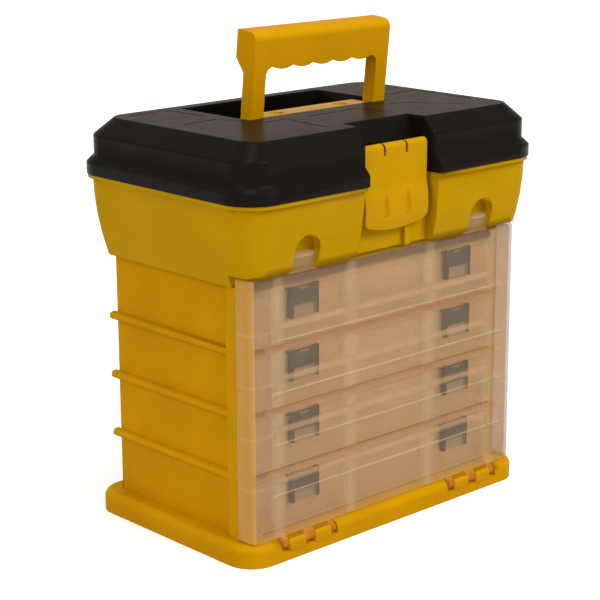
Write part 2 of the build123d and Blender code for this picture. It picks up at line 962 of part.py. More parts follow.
def make_grip_groove(place):
    """Upright hollow between two pads of the belly, deeper and wider towards its low end."""
    low = latch_bottom + latch_groove_low
    swell = latch_front - latch_belly_lead - latch_belly_return
    hollow = Cone(
        latch_groove_radius, latch_groove_radius / 4, latch_groove_length, align=upright_align
    )
    return Pos(place, swell + latch_groove_depth - latch_groove_radius, low) * hollow


def make_latch_pin():
    """Pin that the latch turns on."""
    half = latch_half - 1
    return rod((-half, half), latch_axis_y, latch_axis_z, latch_pin_radius)


def make_front_door():
    """Milky door: wrapped panel with ridges, pads, two tongues and hinge prongs."""
    outer = door_plan.prism(door_bottom, door_top)
    outer &= block((-base_width, base_width), (-base_depth, door_back), (0, 2 * door_top))
    rim = outer.faces().sort_by(Axis.Z)[-1].edges().sort_by(Axis.Y)[:-1]
    outer = chamfer(rim, door_wall / 2)
    inner = door_plan.inset(door_wall).prism(0, door_top - door_wall)
    door = outer - inner

    ridge_half = rack_half - ridge_margin
    for index in range(ridge_count):
        lip = door_bottom + ridge_first + ridge_pitch * index
        ridge = shape(
            (door_front + door_wall / 2, lip),
            (door_front - ridge_reach, lip),
            (door_front - ridge_reach, lip + ridge_lip),
            (door_front, lip + ridge_taper),
            (door_front + door_wall / 2, lip + ridge_taper),
        )
        door += along_x(ridge, (-ridge_half, ridge_half))

    pad_back = door_front + door_wall + door_pad
    for place in door_pads:
        pad = block(
            (place - door_pad_width / 2, place + door_pad_width / 2),
            (door_front + door_wall / 2, pad_back),
            (door_bottom + door_pad_width, door_top - door_pad_width),
        )
        door += both_sides(pad)

    tongue_top = door_top + tongue_rise
    neck = block(
        (tongue_offset - tongue_width / 2, tongue_offset + tongue_width / 2),
        (door_front, door_front + tongue_thick),
        (door_top - 2 * door_wall, tongue_top),
    )
    near = (tongue_offset - tongue_width / 2, door_front)
    far = (tongue_offset + tongue_width / 2, door_front)
    bow = ThreePointArc(near, (tongue_offset, door_front - tongue_lip_reach), far)
    lip = Pos(0, 0, tongue_top - tongue_lip_height) * make_face([bow, Line(far, near)])
    door += both_sides(neck + extrude(lip, amount=tongue_lip_height))

    for place, width in zip(prong_places, prong_widths):
        door += both_sides(make_prong((place - width / 2, place + width / 2)))
    bar = (
        prong_places[0] - prong_widths[0] / 2,
        prong_places[-1] + prong_widths[-1] / 2,
    )
    return door + both_sides(rod(bar, hinge_y, hinge_z, hinge_bar_radius))


def make_prong(span):
    """Prong that reaches from the door's lower edge to the hinge bar."""
    web = shape(
        (door_front, door_bottom + door_wall),
        (door_front + door_wall, door_bottom + door_wall),
        (door_front + door_wall - running_gap, hinge_z),
        (hinge_y - prong_radius, hinge_z),
    )
    return along_x(web, span) + rod(span, hinge_y, hinge_z, prong_radius)


def box_bottom(index):
    """Height that an organiser box stands at."""
    return skid_top + box_pitch * index + seat_gap


def row_walls():
    """Inner limits along Y of the front and the back row of cells."""
    middle = (box_front + box_back) / 2
    front_row = (box_front + box_wall, middle - box_wall / 2)
    back_row = (middle + box_wall / 2, box_back - box_wall)
    return (front_row, back_row)


def make_tray(index):
    """Organiser tray with one fixed wall, divider guides and latch catches."""
    low = box_bottom(index)
    high = low + tray_height
    floor = low + box_wall
    wall_top = high - divider_drop
    tray = box_plan.prism(low, high)
    tray -= box_plan.inset(box_wall).prism(floor, high)
    middle = (box_front + box_back) / 2
    tray += block(
        (-box_half + box_wall / 2, box_half - box_wall / 2),
        (middle - box_wall / 2, middle + box_wall / 2),
        (low + box_wall / 2, wall_top),
    )
    half_slot = divider_thick / 2 + divider_gap
    for row_front, row_back in row_walls():
        for start, stop in (
            (row_front - box_wall / 2, row_front + divider_guide_reach),
            (row_back - divider_guide_reach, row_back + box_wall / 2),
        ):
            for place in (-divider_pitch / 2, divider_pitch / 2):
                for side in (-1, 1):
                    near = place + side * half_slot
                    far = near + side * divider_guide
                    tray += block(
                        (min(near, far), max(near, far)), (start, stop), (floor, wall_top)
                    )
    ledge_top = low + clasp_plate_low() - catch_ledge_drop
    ledge = block(
        (clasp_offset - catch_ledge_half, clasp_offset + catch_ledge_half),
        (box_front - clasp_axis_stand / 2, box_front + box_wall / 2),
        (ledge_top - catch_ledge_thick, ledge_top),
    )
    return tray + both_sides(ledge)


def clasp_plate_low():
    """Height of the lower edge of a box latch's plate above the box's bottom."""
    return box_height - clasp_top_drop - clasp_plate_drop


def make_box_lid(index):
    """Flat lid of an organiser box with the lugs of its two latches."""
    low = box_bottom(index) + tray_height + seat_gap
    high = box_bottom(index) + box_height
    lid = box_plan.prism(low, high)
    lid -= box_plan.inset(box_wall).prism(low, high - box_wall)
    axis_z = high - clasp_axis_drop
    for side in (-1, 1):
        for end in (-1, 1):
            inner = side * clasp_offset + end * (clasp_width / 2 + running_gap)
            outer = inner + end * clasp_lug
            lug = block(
                (min(inner, outer), max(inner, outer)),
                (box_front - clasp_stand + clasp_thick, box_front + box_wall / 2),
                (axis_z - clasp_axis_stand, axis_z + clasp_axis_stand),
            )
            lid += lug
        seat_span = (side * clasp_offset - clasp_width, side * clasp_offset + clasp_width)
        seat = clasp_stub_radius + clasp_stub_play
        axis_y = box_front - clasp_axis_stand
        lid -= rod(seat_span, axis_y, axis_z, seat)
        lid -= block(seat_span, (axis_y - clasp_stand, axis_y), (axis_z - seat, axis_z + seat))
    return lid


def make_dividers(index):
    """Four removable dividers, two in each row of cells."""
    low = box_bottom(index) + box_wall
    high = box_bottom(index) + tray_height - divider_drop
    plates = []
    for row_front, row_back in row_walls():
        for place in (-divider_pitch / 2, divider_pitch / 2):
            plates.append(
                block(
                    (place - divider_thick / 2, place + divider_thick / 2),
                    (row_front + divider_gap, row_back - divider_gap),
                    (low, high),
                )
            )
    return Compound(children=plates)


def make_clasp(index, side):
    """Latch of an organiser box: slotted plate, cheeks and two pivot stubs."""
    bottom = box_bottom(index)
    high = bottom + box_height - clasp_top_drop
    plate_low = bottom + clasp_plate_low()
    cheek_low = bottom + box_height - clasp_top_drop - clasp_drop
    half = clasp_width / 2
    axis_y = box_front - clasp_axis_stand
    axis_z = bottom + box_height - clasp_axis_drop
    front = clasp_front
    back = clasp_front + clasp_thick
    clasp = block((-half, half), (front, back), (plate_low, high))
    clasp -= block(
        (-clasp_slot_width / 2, clasp_slot_width / 2),
        (front, back),
        (high - clasp_slot_drop - clasp_slot_height, high - clasp_slot_drop),
    )
    cheek_back = box_front - running_gap - seat_gap
    clasp += both_sides(
        block((half - clasp_cheek, half), (front, cheek_back), (cheek_low, high))
    )
    tongue_front = back + running_gap
    clasp += block(
        (-half + clasp_cheek / 2, half - clasp_cheek / 2),
        (tongue_front, tongue_front + clasp_hook_thick),
        (cheek_low + clasp_hook_rise, plate_low + clasp_hook_rise),
    )
    clasp += block(
        (-half + clasp_cheek / 2, half - clasp_cheek / 2),
        (front, tongue_front + clasp_hook_thick),
        (plate_low, plate_low + clasp_hook_thick),
    )
    clasp += both_sides(
        rod((half - clasp_cheek, half + clasp_lug), axis_y, axis_z, clasp_stub_radius)
    )
    return Pos(side * clasp_offset, 0, 0) * clasp


nodes = {
    "base_plinth": make_base_plinth(),
    "side_panel_right": make_side_panel(),
    "side_panel_left": mirror(make_side_panel(), about=Plane.YZ),
    "back_panel": make_back_panel(),
    "top_bin": make_top_bin(),
    "lid_hinge_pin_left": make_lid_hinge_pin(-1),
    "lid_hinge_pin_right": make_lid_hinge_pin(1),
    "lid": make_lid(),
    "handle_retainer": make_handle_retainer(),
    "carry_handle": make_carry_handle(),
    "latch": make_latch(),
    "latch_pin": make_latch_pin(),
    "front_door": make_front_door(),
}
for index in range(box_count):
    name = f"box_{index + 1}"
    nodes[f"{name}_tray"] = make_tray(index)
    nodes[f"{name}_lid"] = make_box_lid(index)
    nodes[f"{name}_dividers"] = make_dividers(index)
    nodes[f"{name}_latch_left"] = make_clasp(index, -1)
    nodes[f"{name}_latch_right"] = make_clasp(index, 1)

for node_name, solid in nodes.items():
    export_step(solid, f"parts/{node_name}.step")
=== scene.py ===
"""Looks of a rack tool box: moulded finishes, soft studio light and the photograph's view."""

import json
import logging
import math
from collections.abc import Callable
from dataclasses import dataclass, field
from enum import Enum

import bmesh
import bpy
from mathutils import Matrix, Vector


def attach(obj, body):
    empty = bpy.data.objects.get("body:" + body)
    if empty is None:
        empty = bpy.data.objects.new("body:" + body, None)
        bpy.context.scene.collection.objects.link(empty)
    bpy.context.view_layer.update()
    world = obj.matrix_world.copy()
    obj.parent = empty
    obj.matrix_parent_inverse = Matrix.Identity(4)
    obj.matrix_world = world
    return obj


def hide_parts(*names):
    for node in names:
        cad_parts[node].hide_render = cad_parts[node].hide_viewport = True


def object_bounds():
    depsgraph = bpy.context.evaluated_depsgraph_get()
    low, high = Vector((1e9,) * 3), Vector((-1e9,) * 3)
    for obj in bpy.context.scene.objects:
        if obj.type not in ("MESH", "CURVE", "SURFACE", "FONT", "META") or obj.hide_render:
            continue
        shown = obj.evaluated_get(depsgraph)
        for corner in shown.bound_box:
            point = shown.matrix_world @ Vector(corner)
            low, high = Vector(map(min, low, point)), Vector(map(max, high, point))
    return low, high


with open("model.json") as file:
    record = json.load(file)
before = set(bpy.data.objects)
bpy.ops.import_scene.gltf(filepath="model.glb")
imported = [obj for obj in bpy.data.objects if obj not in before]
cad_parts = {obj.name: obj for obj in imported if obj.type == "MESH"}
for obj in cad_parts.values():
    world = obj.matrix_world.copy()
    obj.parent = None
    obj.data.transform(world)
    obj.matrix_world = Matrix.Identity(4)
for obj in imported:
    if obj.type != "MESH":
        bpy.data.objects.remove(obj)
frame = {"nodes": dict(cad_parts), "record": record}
CAD_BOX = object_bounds()

LOG = logging.getLogger("storage_box")
MM = 0.001

# How the CAD meshes are merged, rounded and shaded
MERGE_DISTANCE = 2e-6
FLAT_ANGLE = math.radians(0.4)
ROUNDED_ANGLE = math.radians(15)
CREASE_ANGLE = math.radians(32)

# How finely edges are eased, and the cosines of the turns at which the easing begins to
# count and counts in full
BEVEL_SAMPLES = 4
EDGE_BEGINS = 0.99
EDGE_FULL = 0.86

# Surfaces that a ray may pass through one after another
CLEAR_LAYERS = 64

BOX_COUNT = 4
BOX_PITCH = 42.7 * MM

Colour = tuple[float, float, float]
Triple = tuple[float, float, float]
Span = tuple[float, float]
EdgeTest = Callable[[Vector, Vector], bool]
EVEN = (1.0, 1.0, 1.0)


def linear(colour: Colour) -> Colour:
    """Linear colour of a display colour given as three numbers from 0 to 255."""
    shares = [value / 255 for value in colour]
    return tuple(s / 12.92 if s <= 0.04045 else ((s + 0.055) / 1.055) ** 2.4 for s in shares)


def rgba(colour: Colour) -> tuple[float, float, float, float]:
    """Opaque linear colour of a display colour."""
    return (*linear(colour), 1.0)


def shaded(colour: Colour, factor: float) -> Colour:
    """Display colour made lighter or darker by a factor."""
    return tuple(min(255.0, value * factor) for value in colour)


class Slot(Enum):
    """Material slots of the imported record."""

    YELLOW = "yellow_plastic"
    BLACK = "black_plastic"
    STEEL = "hinge_steel"
    MILKY = "milky_plastic"
    CLEAR = "clear_plastic"
    DARK = "dark_plastic"


class Value:
    """A number socket that takes part in Python arithmetic by adding Math nodes."""

    def __init__(self, tree: "NodeTree", socket: bpy.types.NodeSocket) -> None:
        """Keep the tree and the output socket.

        Args:
            tree: Tree that new nodes go in.
            socket: Output socket that holds the number.
        """
        self.tree = tree
        self.socket = socket

    def _math(self, operation: str, first: object, second: object) -> "Value":
        """Add one Math node.

        Args:
            operation: Math node operation.
            first: Left operand, a Value or a number.
            second: Right operand, a Value or a number.

        Returns:
            The result as a Value.
        """
        node = self.tree.node("ShaderNodeMath", {"operation": operation}, {0: first, 1: second})
        return Value(self.tree, node.outputs[0])

    def __add__(self, other: object) -> "Value":
        """Sum."""
        return self._math("ADD", self, other)

    def __radd__(self, other: object) -> "Value":
        """Sum with a number on the left."""
        return self._math("ADD", other, self)

    def __sub__(self, other: object) -> "Value":
        """Difference."""
        return self._math("SUBTRACT", self, other)

    def __rsub__(self, other: object) -> "Value":
        """Difference with a number on the left."""
        return self._math("SUBTRACT", other, self)

    def __mul__(self, other: object) -> "Value":
        """Product."""
        return self._math("MULTIPLY", self, other)

    def __rmul__(self, other: object) -> "Value":
        """Product with a number on the left."""
        return self._math("MULTIPLY", other, self)

    def __mod__(self, other: object) -> "Value":
        """Remainder."""
        return self._math("MODULO", self, other)

    def __rmod__(self, other: object) -> "Value":
        """Remainder of a number on the left."""
        return self._math("MODULO", other, self)

    def larger(self, other: object) -> "Value":
        """The larger of two values."""
        return self._math("MAXIMUM", self, other)


class NodeTree:
    """Nodes and links of one tree."""

    def __init__(self, tree: bpy.types.NodeTree) -> None:
        """Keep the tree's nodes and links.

        Args:
            tree: Tree that nodes are added to.
        """
        self.nodes = tree.nodes
        self.links = tree.links

    def node(
        self, kind: str, settings: dict | None = None, inputs: dict | None = None
    ) -> bpy.types.Node:
        """Add a node, set it up and feed its sockets.

        Args:
            kind: Node type name.
            settings: Properties set before the sockets.
            inputs: Socket name or number to a Value, an output socket or a constant.

        Returns:
            The new node.
        """
        node = self.nodes.new(kind)
        for key, value in (settings or {}).items():
            setattr(node, key, value)
        for key, value in (inputs or {}).items():
            source = value.socket if isinstance(value, Value) else value
            if isinstance(source, bpy.types.NodeSocket):
                self.links.new(source, node.inputs[key])
            else:
                node.inputs[key].default_value = source
        return node


class ShaderTree(NodeTree):
    """Node tree of one new material or of the world."""

    def __init__(self, owner: bpy.types.Material | bpy.types.World) -> None:
        """Empty the owner's tree.

        Args:
            owner: Material or world whose nodes are built.
        """
        owner.use_nodes = True
        super().__init__(owner.node_tree)
        self.nodes.clear()

    def place(self, spread: Triple = EVEN) -> bpy.types.NodeSocket:
        """Object coordinates, stretched on each axis.

        Args:
            spread: Factor on each axis.

        Returns:
            Vector socket.
        """
        place = self.node("ShaderNodeTexCoord").outputs["Object"]
        return self.node("ShaderNodeMapping", {}, {"Vector": place, "Scale": spread}).outputs[0]

    def noise(self, size: float, spread: Triple = EVEN, detail: float = 2.0) -> Value:
        """Noise from 0 to 1.

        Args:
            size: Rough size of one blot in metres.
            spread: Stretch of the coordinates on each axis.
            detail: Octaves.

        Returns:
            The noise as a Value.
        """
        inputs = {"Vector": self.place(spread), "Scale": 1.0 / size, "Detail": detail}
        return Value(self, self.node("ShaderNodeTexNoise", {}, inputs).outputs["Fac"])

    def patches(
        self, size: float, limits: Span, spread: Triple = EVEN, detail: float = 3.0
    ) -> Value:
        """Blots that are 0 in some places and 1 in others.

        Args:
            size: Rough size of one blot in metres.
            limits: Noise levels that give 0 and 1.
            spread: Stretch of the coordinates on each axis.
            detail: Octaves.

        Returns:
            The blots as a Value.
        """
        return self.stepped(self.noise(size, spread, detail), *limits)

    def specks(self, spacing: float, radius: float, core: float = 0.5) -> Value:
        """1 inside small scattered dots and 0 elsewhere.

        Args:
            spacing: Mean distance between dots in metres.
            radius: Radius of a dot in metres.
            core: Share of the radius within which a dot is full.

        Returns:
            The dots as a Value.
        """
        inputs = {"Vector": self.place(), "Scale": 1.0 / spacing}
        far = Value(self, self.node("ShaderNodeTexVoronoi", {}, inputs).outputs["Distance"])
        return self.stepped(far, radius / spacing, core * radius / spacing)

    def along(self, axis: int) -> Value:
        """Object coordinate on one axis in metres."""
        place = self.node("ShaderNodeTexCoord").outputs["Object"]
        return Value(self, self.node("ShaderNodeSeparateXYZ", {}, {0: place}).outputs[axis])

    def off_centre(self) -> Value:
        """Distance from the object's middle plane in metres."""
        across = self.along(0)
        return across.larger(across * -1.0)

    def band(self, value: Value, low: float, high: float, soft: float) -> Value:
        """1 between two values and 0 outside them.

        Args:
            value: Value to test.
            low: Lower end.
            high: Upper end.
            soft: Width of the ramp at each end.

        Returns:
            The mask as a Value.
        """
        return self.stepped(value, low - soft, low) * self.stepped(value, high + soft, high)

    def stepped(self, value: Value, low: float, high: float) -> Value:
        """Ramp a value from 0 at low to 1 at high.

        Args:
            value: Value to ramp.
            low: Value that gives 0.
            high: Value that gives 1.

        Returns:
            The ramped value.
        """
        inputs = {"Value": value, "From Min": low, "From Max": high}
        return Value(self, self.node("ShaderNodeMapRange", {}, inputs).outputs[0])

    def mixed(self, share: Value, first: object, second: object) -> bpy.types.NodeSocket:
        """Blend two colours.

        Args:
            share: 0 gives the first colour and 1 the second.
            first: Colour or colour socket.
            second: Colour or colour socket.

        Returns:
            Colour socket.
        """
        settings = {"data_type": "RGBA", "blend_type": "MIX"}
        return self.node("ShaderNodeMix", settings, {0: share, 6: first, 7: second}).outputs[2]

    def rounded(self, radius: float) -> bpy.types.NodeSocket:
        """Surface direction with every edge eased by a small radius."""
        settings = {"samples": BEVEL_SAMPLES}
        return self.node("ShaderNodeBevel", settings, {"Radius": radius}).outputs[0]

    def near_edge(self, rounded: bpy.types.NodeSocket) -> Value:
        """1 beside an edge and 0 on open surfaces.

        Args:
            rounded: Eased surface direction.

        Returns:
            The mask as a Value.
        """
        plain = self.node("ShaderNodeNewGeometry").outputs["Normal"]
        settings = {"operation": "DOT_PRODUCT"}
        turned = self.node("ShaderNodeVectorMath", settings, {0: rounded, 1: plain})
        return self.stepped(Value(self, turned.outputs["Value"]), EDGE_BEGINS, EDGE_FULL)

    def bump(
        self, height: Value, distance: float, normal: bpy.types.NodeSocket | None = None
    ) -> bpy.types.NodeSocket:
        """Surface direction with a fine relief.

        Args:
            height: Relief from 0 to 1.
            distance: Height of the relief in metres.
            normal: Surface direction that the relief lies on.

        Returns:
            Vector socket.
        """
        inputs = {"Strength": 1.0, "Distance": distance, "Height": height}
        if normal is not None:
            inputs["Normal"] = normal
        return self.node("ShaderNodeBump", {}, inputs).outputs[0]

    def surface(self, inputs: dict) -> None:
        """Close a material with one general shader.

        Args:
            inputs: Socket name of the shader to its value or link.
        """
        shader = self.node("ShaderNodeBsdfPrincipled", {}, inputs)
        self.node("ShaderNodeOutputMaterial", {}, {0: shader.outputs[0]})


@dataclass(frozen=True)
class ShadedClaspWindows:
    """Windows between the legs of the clasps, where the milky tray shows, painted in its tone
    darkened by painted shade.

    Args:
        colour: Display colour of a window, the tray's tone with painted shade.
        low: Lower end of the lowest window in metres.
        high: Upper end of the lowest window in metres.
        centre: Distance of a clasp's middle from the middle plane in metres.
        half: Half width of a window in metres.
        soft: Width of a window's soft edge in metres.
    """

    colour: Colour = (140, 114, 92)
    low: float = 33.1 * MM
    high: float = 41.6 * MM
    centre: float = 74.4 * MM
    half: float = 10.0 * MM
    soft: float = 0.05 * MM

    def mask(self, tree: ShaderTree) -> Value:
        """1 in the windows and 0 elsewhere.

        Args:
            tree: Tree of the material.

        Returns:
            The mask as a Value.
        """
        near, far = self.centre - self.half, self.centre + self.half
        beside = tree.band(tree.off_centre(), near, far, self.soft)
        above = (tree.along(2) - (self.low - self.soft)) % BOX_PITCH
        return tree.band(above, self.soft, self.high - self.low, self.soft) * beside


@dataclass(frozen=True)
class MouldedPlastic:
    """Solid moulded plastic with faint clouds, a fine grain, scuffs, eased edges and a painted
    highlight in patches along the edges.

    Args:
        name: Material name.
        colour: Display colour.
        roughness: Mean roughness.
        shine: Reflection level.
        grain: Size of the moulded grain in metres.
        grain_height: Height of the grain in metres.
        edge: Radius that edges are eased by in metres.
        edge_highlight: Share by which edges are painted lighter, as a highlight.
        clouds: Share by which the colour varies.
        cloud_size: Size of the clouds in metres.
        cloud_limits: Noise levels at the darkest and at the lightest.
        edge_highlight_patch_size: Size of the patches of the painted edge highlight in metres.
        edge_highlight_patch_limits: Noise levels where a patch of the painted edge highlight begins
            and is full.
        scuff: How much scuffs change the roughness.
        scuff_size: Size of the scuffs in metres.
        scuff_limits: Noise levels where a scuff begins and is full.
        scuff_spread: Stretch of the scuffs on each axis.
        scuff_detail: Octaves of the scuffs.
        tint: Colour of the reflections, 0 to 1; a warm tint is a painted reflection of warm
            surroundings.
        windows: Places between a clasp's legs painted in the tray's shaded tone, or None.
    """

    name: str
    colour: Colour
    roughness: float
    shine: float
    grain: float = 0.9 * MM
    grain_height: float = 0.02 * MM
    edge: float = 0.6 * MM
    edge_highlight: float = 0.08
    clouds: float = 0.03
    cloud_size: float = 50 * MM
    cloud_limits: Span = (0.3, 0.7)
    edge_highlight_patch_size: float = 8 * MM
    edge_highlight_patch_limits: Span = (0.25, 0.6)
    scuff: float = 0.12
    scuff_size: float = 12 * MM
    scuff_limits: Span = (0.45, 0.75)
    scuff_spread: Triple = (1.0, 1.0, 0.4)
    scuff_detail: float = 4.0
    tint: Colour = EVEN
    windows: ShadedClaspWindows | None = None

    def build(self) -> bpy.types.Material:
        """Make the material.

        Returns:
            The material.
        """
        material = bpy.data.materials.new(self.name)
        tree = ShaderTree(material)
        dark = rgba(shaded(self.colour, 1 - self.clouds))
        light = rgba(shaded(self.colour, 1 + self.clouds))
        colour = tree.mixed(tree.patches(self.cloud_size, self.cloud_limits), dark, light)
        rounded = tree.rounded(self.edge)
        # Painted highlight: the edges are lighter, in patches.
        edge_highlight_patches = tree.near_edge(rounded) * tree.patches(self.edge_highlight_patch_size, self.edge_highlight_patch_limits)
        colour = tree.mixed(edge_highlight_patches, colour, rgba(shaded(self.colour, 1 + self.edge_highlight)))
        if self.windows:
            # Painted shade: the windows take the tray's tone as darkened between the legs.
            colour = tree.mixed(self.windows.mask(tree), colour, rgba(self.windows.colour))
        scuffs = tree.patches(
            self.scuff_size, self.scuff_limits, self.scuff_spread, self.scuff_detail
        )
        tree.surface(
            {
                "Base Color": colour,
                "Roughness": self.roughness - self.scuff / 2 + scuffs * self.scuff,
                "Specular IOR Level": self.shine,
                "Specular Tint": (*self.tint, 1.0),
                "Normal": tree.bump(tree.noise(self.grain), self.grain_height, rounded),
            }
        )
        return material


@dataclass(frozen=True)
class DoorMarks:
    """Where the door's ridges, pads and tongues change how much shows through.

    Heights are measured from the ground and distances across from the middle plane, in metres.

    Args:
        foot: Height of the panel's lower end; the hinge prongs hang below it.
        top: Height of the panel's upper end; the tongues stand above it.
        face: Place of the front face along Y.
        step: Width of the soft step at the panel's two ends.
        first: Height of the lowest ridge's lip.
        pitch: Distance between ridges.
        count: Number of ridges.
        half: Half length of the ridges.
        tip: How far before the front face a ridge's tip begins and counts in full.
        line_width: Width of a lip's line.
        line_haze: Haze of a line, whose lighter colour is a painted highlight.
        line_end: Width of the soft end of a line.
        beyond_rise: How far the line beyond a ridge's end lies above its lip.
        beyond_share: Share of a line's haze that the line beyond has.
        veil: Lower and upper end of the clouded band above a lip.
        veil_soft: Width of the band's soft edges.
        veil_end: Width of the band's soft ends.
        veil_haze: Haze of that band.
        veil_colour: Display colour of that band.
        painted_light_rim: How far below the top the rim begins and counts in full, where light is
            painted over the bin's shadow.
        painted_light_rim_share: Share of a band's haze that the rim has.
        gap: Lower and upper end of the lowest gap between boxes, as seen on the door.
        gap_soft: Width of the soft edges of that gap's light.
        gap_side: How far past the outer pads the light ends and counts in full.
        gap_top: How far below the top the light ends and counts in full.
        gap_light_haze: Haze of the warm light painted in front of a gap, over its shade.
        gap_light_colour: Display colour of that painted light.
        pads: Distances of the two upright pads from the middle plane.
        pad_half: Half width of a pad.
        pad_soft: Width of a pad's soft edges.
        pad_haze: Haze that a pad adds.
        tongue_clear: Share of the panel's haze that the tongues lack.
        lip: How far before the front face a tongue's lip begins and counts in full.
        lip_haze: Haze of the tongues' forward lips.
        prong_haze: Haze of the hinge prongs.
        prong_colour: Display colour of the hinge prongs.
    """

    foot: float = 16.4 * MM
    top: float = 207.0 * MM
    face: float = -80.0 * MM
    step: float = 0.4 * MM
    first: float = 46.4 * MM
    pitch: float = 35.0 * MM
    count: int = 4
    half: float = 109.0 * MM
    tip: Span = (0.8 * MM, 1.2 * MM)
    line_width: float = 1.0 * MM
    line_haze: float = 0.30
    line_end: float = 1.0 * MM
    beyond_rise: float = 6.0 * MM
    beyond_share: float = 0.5
    veil: Span = (8.0 * MM, 10.0 * MM)
    veil_soft: float = 2.0 * MM
    veil_end: float = 6.0 * MM
    veil_haze: float = 0.42
    veil_colour: Colour = (206, 166, 124)
    painted_light_rim: Span = (14.0 * MM, 3.0 * MM)
    painted_light_rim_share: float = 0.7
    gap: Span = (59.5 * MM, 63.0 * MM)
    gap_soft: float = 1.2 * MM
    gap_side: Span = (14.0 * MM, 10.0 * MM)
    gap_top: Span = (26.0 * MM, 30.0 * MM)
    gap_light_haze: float = 0.30
    gap_light_colour: Colour = (210, 162, 116)
    pads: Span = (38.2 * MM, 104.0 * MM)
    pad_half: float = 3.4 * MM
    pad_soft: float = 1.2 * MM
    pad_haze: float = 0.09
    tongue_clear: float = 0.75
    lip: Span = (0.2 * MM, 0.8 * MM)
    lip_haze: float = 0.5
    prong_haze: float = 0.34
    prong_colour: Colour = (236, 156, 62)

    def _above(self, tree: ShaderTree) -> Value:
        """Height above the nearest lip below, plus one line width."""
        return (tree.along(2) - (self.first - self.line_width)) % self.pitch

    def _within(self, tree: ShaderTree) -> Value:
        """1 from the lowest lip to half a pitch above the highest."""
        low, high = self.first - self.line_width, self.first + (self.count - 0.5) * self.pitch
        return tree.band(tree.along(2), low, high, self.line_width / 3)

    def _before_face(self, tree: ShaderTree, limits: Span) -> Value:
        """1 well before the front face and 0 on it."""
        begins, full = limits
        return tree.stepped(tree.along(1), self.face - begins, self.face - full)

    def _below_top(self, tree: ShaderTree, limits: Span) -> Value:
        """Ramp between two depths below the panel's top, 0 at the first and 1 at the second."""
        begins, full = limits
        return tree.stepped(tree.along(2), self.top - begins, self.top - full)

    def lines(self, tree: ShaderTree) -> Value:
        """1 on the lips and on the lines that run on to the sides, where a highlight is painted, 0
        elsewhere.

        Args:
            tree: Tree of the material.

        Returns:
            The mask as a Value.
        """
        width = self.line_width
        soft = width / 3
        above = self._above(tree)
        on_ridge = tree.band(above, width, 2 * width, soft) * self._before_face(tree, self.tip)
        rise = self.beyond_rise
        beyond = tree.band(above, rise + width, rise + 2 * width, 2 * soft)
        outside = tree.stepped(tree.along(0), self.line_end - self.half, -self.half)
        return (on_ridge + beyond * outside * self.beyond_share) * self._within(tree)

    def veils(self, tree: ShaderTree) -> Value:
        """1 in the clouded bands above the lips, less on the upper rim where light is painted over
        the bin's shadow, 0 elsewhere.

        Args:
            tree: Tree of the material.

        Returns:
            The mask as a Value.
        """
        low, high = (end + self.line_width for end in self.veil)
        inside = tree.stepped(tree.off_centre(), self.half, self.half - self.veil_end)
        band = tree.band(self._above(tree), low, high, self.veil_soft)
        # Painted light: the upper rim is clouded lighter to lift the bin's shadow on the door.
        painted_light_rim = self._below_top(tree, self.painted_light_rim) * self.painted_light_rim_share
        return (band * inside * self._within(tree)).larger(painted_light_rim)

    def gaps(self, tree: ShaderTree) -> Value:
        """1 in front of the gaps between the boxes, where warm light is painted over their shade,
        and 0 elsewhere.

        Args:
            tree: Tree of the material.

        Returns:
            The mask as a Value.
        """
        low, high = self.gap
        soft = self.gap_soft
        above = (tree.along(2) - (low - soft)) % BOX_PITCH
        ends, full = (self.pads[1] + reach for reach in self.gap_side)
        inside = tree.stepped(tree.off_centre(), ends, full)
        below = self._below_top(tree, self.gap_top)
        return tree.band(above, soft, high - low + soft, soft) * inside * below

    def pad_strips(self, tree: ShaderTree) -> Value:
        """1 on the pads and 0 elsewhere.

        Args:
            tree: Tree of the material.

        Returns:
            The mask as a Value.
        """
        across = tree.off_centre()
        strips = [
            tree.band(across, pad - self.pad_half, pad + self.pad_half, self.pad_soft)
            for pad in self.pads
        ]
        return strips[0].larger(strips[1])

    def tongues(self, tree: ShaderTree) -> Value:
        """1 above the panel's top and 0 on the panel."""
        return tree.stepped(tree.along(2), self.top, self.top + self.step)

    def prongs(self, tree: ShaderTree) -> Value:
        """1 below the panel, on the hinge prongs and bars, and 0 on the panel."""
        return tree.stepped(tree.along(2), self.foot, self.foot - self.step)

    def marked(
        self, tree: ShaderTree, haze: Value, colour: bpy.types.NodeSocket, lines: Value, highlight_colour: object
    ) -> tuple[Value, bpy.types.NodeSocket]:
        """Add the marks to the door's haze and colour.

        Args:
            tree: Tree of the material.
            haze: Haze of the bare plastic.
            colour: Colour of the bare plastic.
            lines: Mask of the lips' lines.
            highlight_colour: Colour of a line, painted lighter as a highlight.

        Returns:
            Haze and colour with the marks.
        """
        haze = haze + self.pad_strips(tree) * self.pad_haze
        # Painted light over the gaps' shade, the veils with the rim's painted light, and the lips'
        # painted highlight.
        layers = (
            (self.gaps(tree), self.gap_light_haze, rgba(self.gap_light_colour)),
            (self.veils(tree), self.veil_haze, rgba(self.veil_colour)),
            (lines, self.line_haze, highlight_colour),
        )
        for mask, share, tone in layers:
            haze = haze.larger(mask * share)
            colour = tree.mixed(mask, colour, tone)
        tongues = self.tongues(tree)
        haze = haze * (1.0 - tongues * self.tongue_clear)
        prongs = self.prongs(tree)
        haze = haze.larger(prongs * self.prong_haze)
        colour = tree.mixed(prongs, colour, rgba(self.prong_colour))
        lips = self._before_face(tree, self.lip) * tongues
        return haze.larger(lips * self.lip_haze), colour


